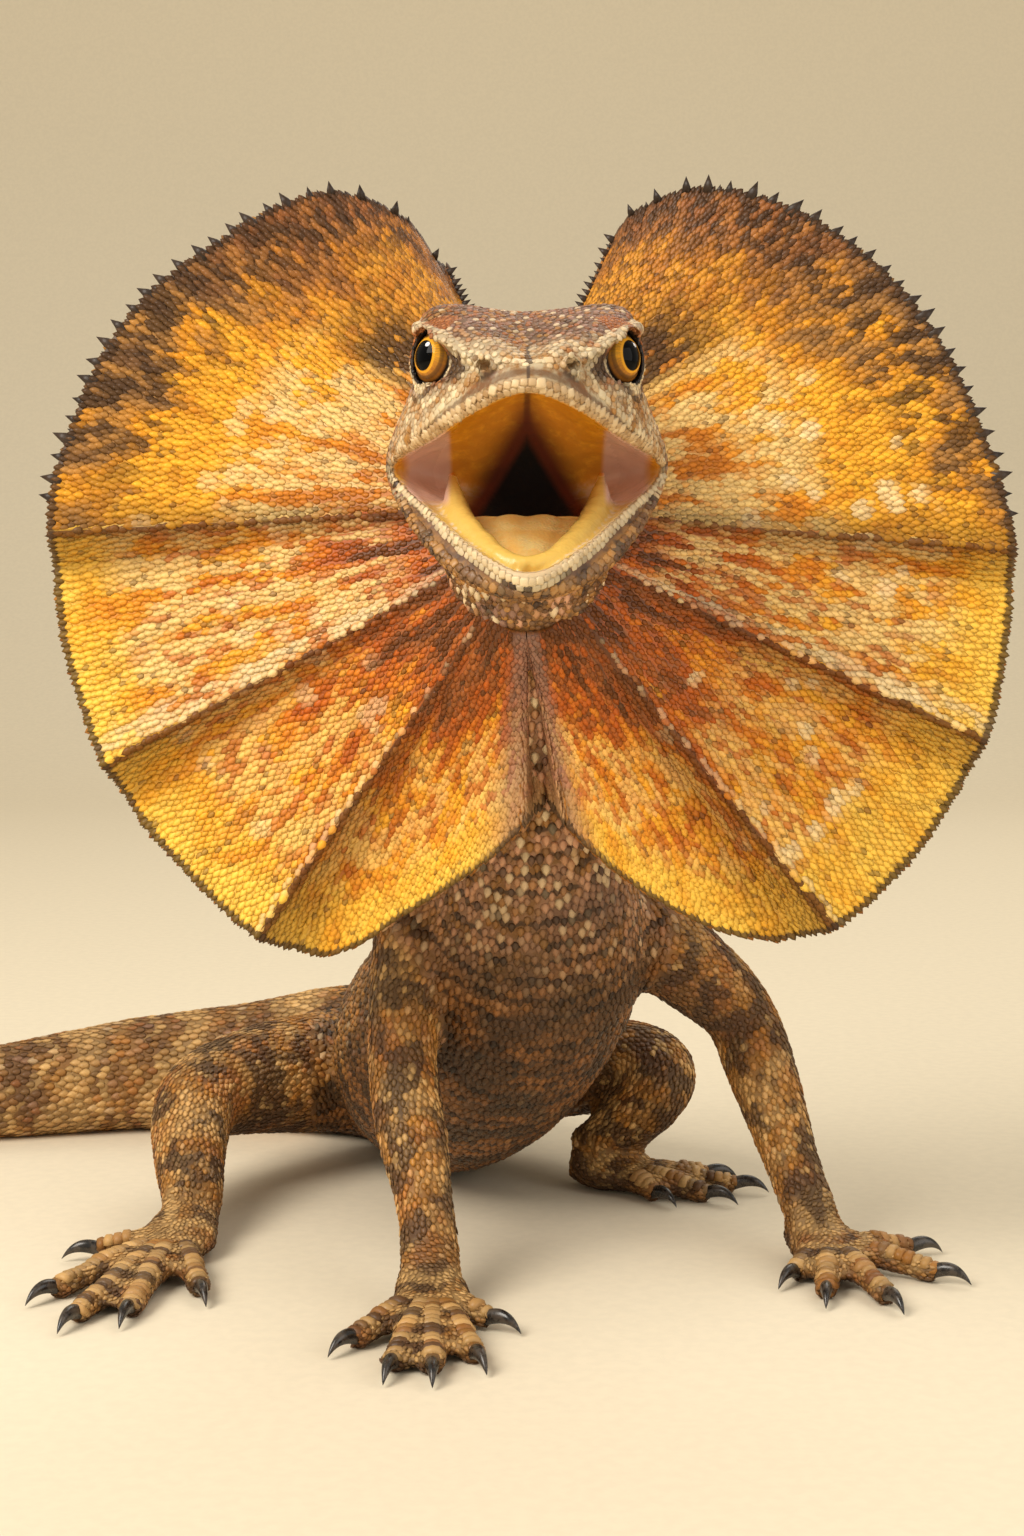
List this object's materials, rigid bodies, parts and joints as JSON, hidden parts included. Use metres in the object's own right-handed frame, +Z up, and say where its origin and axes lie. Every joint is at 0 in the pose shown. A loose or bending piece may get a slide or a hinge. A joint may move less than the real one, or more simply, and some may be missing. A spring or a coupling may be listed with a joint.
{
  "type": "frilled lizard",
  "caption": "Life-size frilled lizard in its threat display, front raised on straight arms, mouth agape and the pleated neck frill spread wide.",
  "frame": {"origin": "centre of the small flat under the pelvis that rests on the floor, at floor level", "axes": "+Z up; the animal faces -Y and its left side is +X, so the tail runs out to -X"},
  "size_m": [0.625, 0.4658, 0.2918],
  "materials": {
    "skin": "dry scaly skin, matte to satin",
    "frill_skin": "thin scaly membrane, satin",
    "tongue": "moist, satin",
    "eye": "wet gloss",
    "claw": "dark horn, polished"
  },
  "bodies": {
    "root": {"belly": "skin", "chest": "skin", "claw_forefoot_left_1": "claw", "claw_forefoot_left_2": "claw", "claw_forefoot_left_3": "claw", "claw_forefoot_left_4": "claw", "claw_forefoot_left_5": "claw", "claw_forefoot_right_1": "claw", "claw_forefoot_right_2": "claw", "claw_forefoot_right_3": "claw", "claw_forefoot_right_4": "claw", "claw_forefoot_right_5": "claw", "claw_hindfoot_left_1": "claw", "claw_hindfoot_left_2": "claw", "claw_hindfoot_left_3": "claw", "claw_hindfoot_left_4": "claw", "claw_hindfoot_left_5": "claw", "claw_hindfoot_right_1": "claw", "claw_hindfoot_right_2": "claw", "claw_hindfoot_right_3": "claw", "claw_hindfoot_right_4": "claw", "claw_hindfoot_right_5": "claw", "eye_left": "eye", "eye_right": "eye", "forefoot_left": "skin", "forefoot_right": "skin", "foreleg_left": "skin", "foreleg_right": "skin", "frill_left": "frill_skin", "frill_right": "frill_skin", "head": "skin", "hindfoot_left": "skin", "hindfoot_right": "skin", "hindleg_left": "skin", "hindleg_right": "skin", "jaw": "skin", "neck": "skin", "tail_base": "skin", "tail_middle": "skin", "tail_tip": "skin", "tongue": "tongue"}
  },
  "joints": []
}
